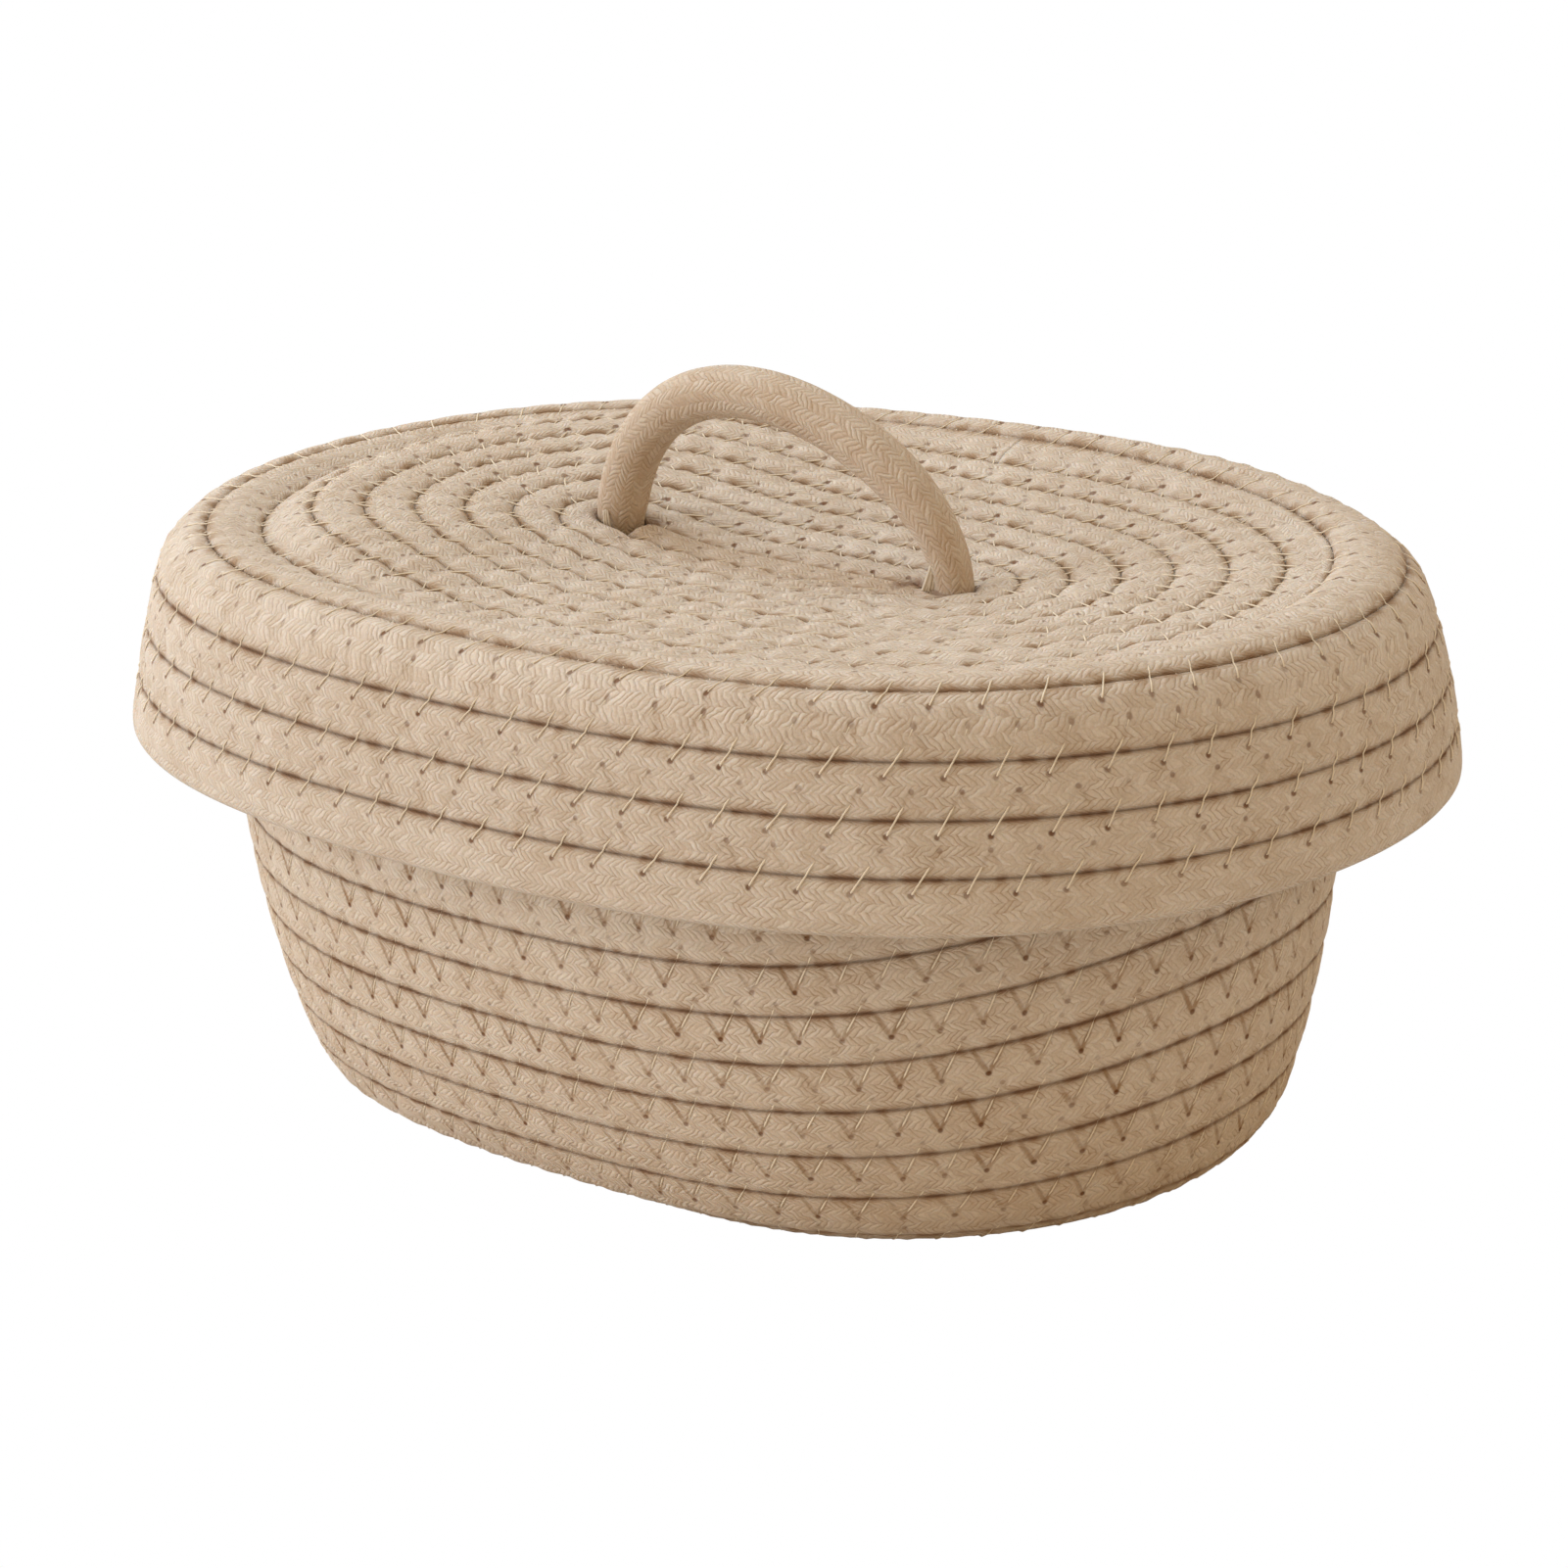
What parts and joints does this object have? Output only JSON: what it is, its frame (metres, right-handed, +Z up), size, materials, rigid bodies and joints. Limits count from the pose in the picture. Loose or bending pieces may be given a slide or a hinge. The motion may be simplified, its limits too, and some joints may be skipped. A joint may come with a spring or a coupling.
{
  "type": "rope storage basket",
  "caption": "Oval storage basket sewn from coiled cotton rope, with a flared wall and a loose lid that has a deep skirt and a rope loop handle.",
  "frame": {"origin": "on the floor plane under the middle of the basket, at the bottom centre of the whole object's box", "axes": "+X along the oval's long axis and the handle, +Y along its short axis, +Z up"},
  "size_m": [0.2594, 0.192, 0.1337],
  "materials": {
    "basket_rope": "matt braided cotton",
    "lid_rope": "matt braided cotton",
    "handle_rope": "matt braided cotton"
  },
  "bodies": {
    "basket": {"basket_base_coil": "basket_rope", "basket_wall_coil": "basket_rope"},
    "lid": {"lid_top_coil": "lid_rope", "lid_skirt_coil": "lid_rope", "handle_rope": "handle_rope"}
  },
  "joints": [
    {"name": "lid_lift", "type": "slide", "parent": "basket", "child": "lid", "axis": [0, 0, 1], "range_m": [0, 0.06]}
  ]
}
